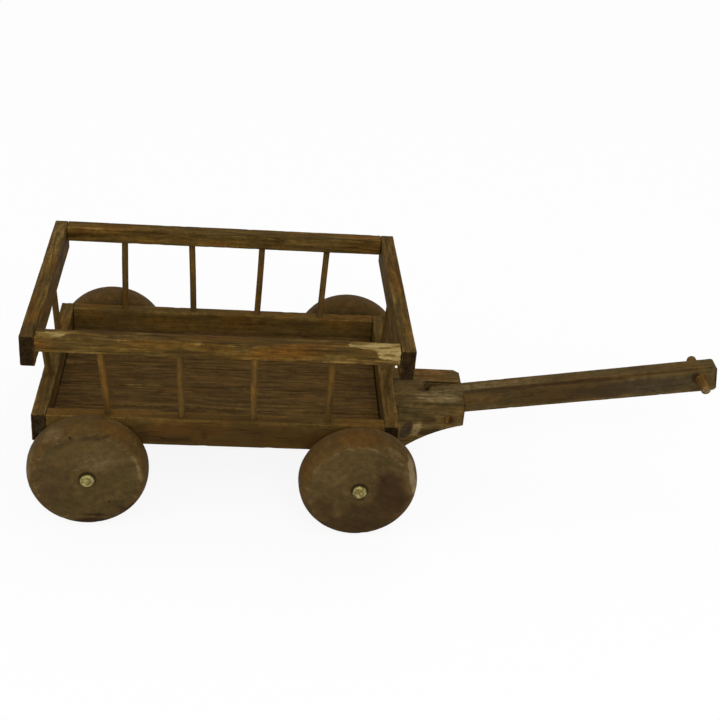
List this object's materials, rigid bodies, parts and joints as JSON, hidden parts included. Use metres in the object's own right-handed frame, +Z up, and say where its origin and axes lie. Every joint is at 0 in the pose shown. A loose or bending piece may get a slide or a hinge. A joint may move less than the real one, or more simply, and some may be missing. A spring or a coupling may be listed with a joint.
{
  "type": "miniature wooden hay cart",
  "caption": "Small toy-scale hay wagon of dark stained sticks: slatted open load box on disc wheels held by brass nails, with a pinned tongue and cross peg for pulling.",
  "frame": {"origin": "floor under the middle of the whole length, tongue tip included, midway between the wheels", "axes": "+X forwards along the tongue, +Y to the left of the cart, +Z up"},
  "size_m": [0.2286, 0.1004, 0.065],
  "materials": {
    "stick_wood": "dark stained, matt, rough sawn",
    "wheel_wood": "dark stained, satin, turned",
    "dowel_wood": "lighter stained, matt",
    "board_wood": "dark stained, matt",
    "brass": "polished, slightly dull"
  },
  "bodies": {
    "root": {"top_rail_rear": "stick_wood", "bottom_rail_rear": "stick_wood", "axle_block_rear": "stick_wood", "top_rail_front": "stick_wood", "bottom_rail_front": "stick_wood", "axle_block_front": "stick_wood", "top_rail_right": "stick_wood", "sill_right": "stick_wood", "spindle_right_1": "dowel_wood", "spindle_right_2": "dowel_wood", "spindle_right_3": "dowel_wood", "spindle_right_4": "dowel_wood", "top_rail_left": "stick_wood", "sill_left": "stick_wood", "spindle_left_1": "dowel_wood", "spindle_left_2": "dowel_wood", "spindle_left_3": "dowel_wood", "spindle_left_4": "dowel_wood", "spindle_rear_1": "dowel_wood", "spindle_rear_2": "dowel_wood", "spindle_front_1": "dowel_wood", "spindle_front_2": "dowel_wood", "floor_board_1": "board_wood", "floor_board_2": "board_wood", "floor_board_3": "board_wood", "floor_board_4": "board_wood", "floor_board_5": "board_wood", "nail_rear_right": "brass", "nail_rear_left": "brass", "nail_front_right": "brass", "nail_front_left": "brass", "hitch_block": "stick_wood", "hitch_pin": "dowel_wood"},
    "wheel_rear_right": {"wheel_rear_right": "wheel_wood"},
    "wheel_rear_left": {"wheel_rear_left": "wheel_wood"},
    "wheel_front_right": {"wheel_front_right": "wheel_wood"},
    "wheel_front_left": {"wheel_front_left": "wheel_wood"},
    "tongue": {"tongue": "stick_wood", "crossbar": "dowel_wood"}
  },
  "joints": [
    {"name": "wheel_rear_right_spin", "type": "hinge", "parent": "root", "child": "wheel_rear_right", "pos_m": [-0.09485, -0.04219, 0.0189], "axis": [-0.0698, 0.9976, 0], "continuous": true},
    {"name": "wheel_rear_left_spin", "type": "hinge", "parent": "root", "child": "wheel_rear_left", "pos_m": [-0.0954, 0.0422, 0.0189], "axis": [-0.0262, 0.9997, 0], "continuous": true},
    {"name": "wheel_front_right_spin", "type": "hinge", "parent": "root", "child": "wheel_front_right", "pos_m": [-0.01027, -0.0438, 0.0189], "axis": [-0.0384, 0.9993, 0], "continuous": true},
    {"name": "wheel_front_left_spin", "type": "hinge", "parent": "root", "child": "wheel_front_left", "pos_m": [-0.01042, 0.0438, 0.0189], "axis": [0.0175, 0.9998, 0], "continuous": true},
    {"name": "tongue_pitch", "type": "hinge", "parent": "root", "child": "tongue", "pos_m": [0.02195, 0, 0.022], "axis": [0, -1, 0], "range_deg": [-20, 95]}
  ]
}
